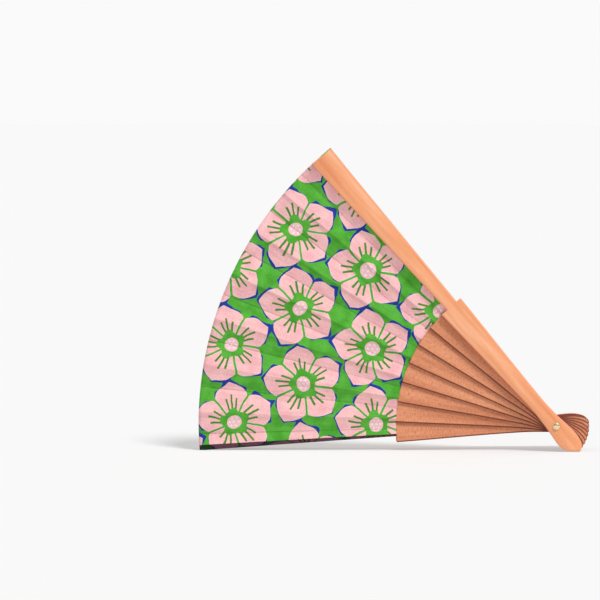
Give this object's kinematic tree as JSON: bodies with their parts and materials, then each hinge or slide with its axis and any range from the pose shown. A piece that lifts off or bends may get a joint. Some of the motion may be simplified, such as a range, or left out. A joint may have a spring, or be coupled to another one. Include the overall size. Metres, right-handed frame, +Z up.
{
  "type": "hand fan",
  "caption": "Folding hand fan with flat wooden sticks on one brass rivet and a pleated, flower-printed cloth leaf, shown part opened and standing on its lower edge.",
  "frame": {"origin": "on the floor, under the middle of the part-opened fan", "axes": "+Z up, -Y towards the fan's printed face, +X from the leaf towards the rivet"},
  "size_m": [0.231, 0.0306, 0.1791],
  "materials": {
    "stick_wood": "thin fruit wood sticks, sanded and waxed, matt",
    "guard_wood": "warm orange fruit wood, satin varnish",
    "leaf_cloth": "plain-weave cotton printed with pink flowers on green, with dark blue accents",
    "rivet_brass": "pale polished brass"
  },
  "bodies": {
    "back_guard": {"back_guard": "guard_wood", "leaf_18": "leaf_cloth", "rivet_pin": "rivet_brass", "front_washer": "rivet_brass", "back_washer": "rivet_brass", "rivet_cap": "rivet_brass"},
    "stick_17": {"stick_17": "stick_wood", "leaf_17": "leaf_cloth"},
    "stick_16": {"stick_16": "stick_wood", "leaf_16": "leaf_cloth"},
    "stick_15": {"stick_15": "stick_wood", "leaf_15": "leaf_cloth"},
    "stick_14": {"stick_14": "stick_wood", "leaf_14": "leaf_cloth"},
    "stick_13": {"stick_13": "stick_wood", "leaf_13": "leaf_cloth"},
    "stick_12": {"stick_12": "stick_wood", "leaf_12": "leaf_cloth"},
    "stick_11": {"stick_11": "stick_wood", "leaf_11": "leaf_cloth"},
    "stick_10": {"stick_10": "stick_wood", "leaf_10": "leaf_cloth"},
    "stick_09": {"stick_09": "stick_wood", "leaf_09": "leaf_cloth"},
    "stick_08": {"stick_08": "stick_wood", "leaf_08": "leaf_cloth"},
    "stick_07": {"stick_07": "stick_wood", "leaf_07": "leaf_cloth"},
    "stick_06": {"stick_06": "stick_wood", "leaf_06": "leaf_cloth"},
    "stick_05": {"stick_05": "stick_wood", "leaf_05": "leaf_cloth"},
    "stick_04": {"stick_04": "stick_wood", "leaf_04": "leaf_cloth"},
    "stick_03": {"stick_03": "stick_wood", "leaf_03": "leaf_cloth"},
    "stick_02": {"stick_02": "stick_wood", "leaf_02": "leaf_cloth"},
    "stick_01": {"stick_01": "stick_wood", "leaf_01": "leaf_cloth"},
    "front_guard": {"front_guard": "guard_wood", "leaf_00": "leaf_cloth"}
  },
  "joints": [
    {"name": "pivot_17", "type": "hinge", "parent": "back_guard", "child": "stick_17", "pos_m": [0.09562, 0, 0.01537], "axis": [0, 1, 0], "range_deg": [0, 7.73], "deforming": ["leaf_17"]},
    {"name": "pivot_16", "type": "hinge", "parent": "stick_17", "child": "stick_16", "pos_m": [0.09562, 0, 0.01537], "axis": [0, 1, 0], "range_deg": [0, 7.74], "deforming": ["leaf_16"]},
    {"name": "pivot_15", "type": "hinge", "parent": "stick_16", "child": "stick_15", "pos_m": [0.09562, 0, 0.01537], "axis": [0, 1, 0], "range_deg": [0, 7.74], "deforming": ["leaf_15"]},
    {"name": "pivot_14", "type": "hinge", "parent": "stick_15", "child": "stick_14", "pos_m": [0.09562, 0, 0.01537], "axis": [0, 1, 0], "range_deg": [0, 7.74], "deforming": ["leaf_14"]},
    {"name": "pivot_13", "type": "hinge", "parent": "stick_14", "child": "stick_13", "pos_m": [0.09562, 0, 0.01537], "axis": [0, 1, 0], "range_deg": [0, 7.74], "deforming": ["leaf_13"]},
    {"name": "pivot_12", "type": "hinge", "parent": "stick_13", "child": "stick_12", "pos_m": [0.09562, 0, 0.01537], "axis": [0, 1, 0], "range_deg": [0, 7.74], "deforming": ["leaf_12"]},
    {"name": "pivot_11", "type": "hinge", "parent": "stick_12", "child": "stick_11", "pos_m": [0.09562, 0, 0.01537], "axis": [0, 1, 0], "range_deg": [0, 7.74], "deforming": ["leaf_11"]},
    {"name": "pivot_10", "type": "hinge", "parent": "stick_11", "child": "stick_10", "pos_m": [0.09562, 0, 0.01537], "axis": [0, 1, 0], "range_deg": [0, 7.74], "deforming": ["leaf_10"]},
    {"name": "pivot_09", "type": "hinge", "parent": "stick_10", "child": "stick_09", "pos_m": [0.09562, 0, 0.01537], "axis": [0, 1, 0], "range_deg": [0, 7.74], "deforming": ["leaf_09"]},
    {"name": "pivot_08", "type": "hinge", "parent": "stick_09", "child": "stick_08", "pos_m": [0.09562, 0, 0.01537], "axis": [0, 1, 0], "range_deg": [0, 7.74], "deforming": ["leaf_08"]},
    {"name": "pivot_07", "type": "hinge", "parent": "stick_08", "child": "stick_07", "pos_m": [0.09562, 0, 0.01537], "axis": [0, 1, 0], "range_deg": [0, 9.21], "deforming": ["leaf_07"]},
    {"name": "pivot_06", "type": "hinge", "parent": "stick_07", "child": "stick_06", "pos_m": [0.09562, 0, 0.01537], "axis": [0, 1, 0], "range_deg": [-7.33, 0.56], "deforming": ["leaf_06"]},
    {"name": "pivot_05", "type": "hinge", "parent": "stick_06", "child": "stick_05", "pos_m": [0.09562, 0, 0.01537], "axis": [0, 1, 0], "range_deg": [-7.33, 0.57], "deforming": ["leaf_05"]},
    {"name": "pivot_04", "type": "hinge", "parent": "stick_05", "child": "stick_04", "pos_m": [0.09562, 0, 0.01537], "axis": [0, 1, 0], "range_deg": [-7.33, 0.57], "deforming": ["leaf_04"]},
    {"name": "pivot_03", "type": "hinge", "parent": "stick_04", "child": "stick_03", "pos_m": [0.09562, 0, 0.01537], "axis": [0, 1, 0], "range_deg": [-7.33, 0.57], "deforming": ["leaf_03"]},
    {"name": "pivot_02", "type": "hinge", "parent": "stick_03", "child": "stick_02", "pos_m": [0.09562, 0, 0.01537], "axis": [0, 1, 0], "range_deg": [-7.33, 0.57], "deforming": ["leaf_02"]},
    {"name": "pivot_01", "type": "hinge", "parent": "stick_02", "child": "stick_01", "pos_m": [0.09562, 0, 0.01537], "axis": [0, 1, 0], "range_deg": [-7.33, 0.57], "deforming": ["leaf_01"]},
    {"name": "pivot_00", "type": "hinge", "parent": "stick_01", "child": "front_guard", "pos_m": [0.09562, 0, 0.01537], "axis": [0, 1, 0], "range_deg": [-7.33, 0.57], "deforming": ["leaf_00"]}
  ],
  "couplings": [
    {"joint": "pivot_16", "follows": "pivot_17", "ratio": 1},
    {"joint": "pivot_15", "follows": "pivot_17", "ratio": 1},
    {"joint": "pivot_14", "follows": "pivot_17", "ratio": 1},
    {"joint": "pivot_13", "follows": "pivot_17", "ratio": 1},
    {"joint": "pivot_12", "follows": "pivot_17", "ratio": 1},
    {"joint": "pivot_11", "follows": "pivot_17", "ratio": 1},
    {"joint": "pivot_10", "follows": "pivot_17", "ratio": 1},
    {"joint": "pivot_09", "follows": "pivot_17", "ratio": 1},
    {"joint": "pivot_08", "follows": "pivot_17", "ratio": 1},
    {"joint": "pivot_07", "follows": "pivot_17", "ratio": 1.19},
    {"joint": "pivot_05", "follows": "pivot_06", "ratio": 1},
    {"joint": "pivot_04", "follows": "pivot_06", "ratio": 1},
    {"joint": "pivot_03", "follows": "pivot_06", "ratio": 1},
    {"joint": "pivot_02", "follows": "pivot_06", "ratio": 1},
    {"joint": "pivot_01", "follows": "pivot_06", "ratio": 1},
    {"joint": "pivot_00", "follows": "pivot_06", "ratio": 1}
  ]
}
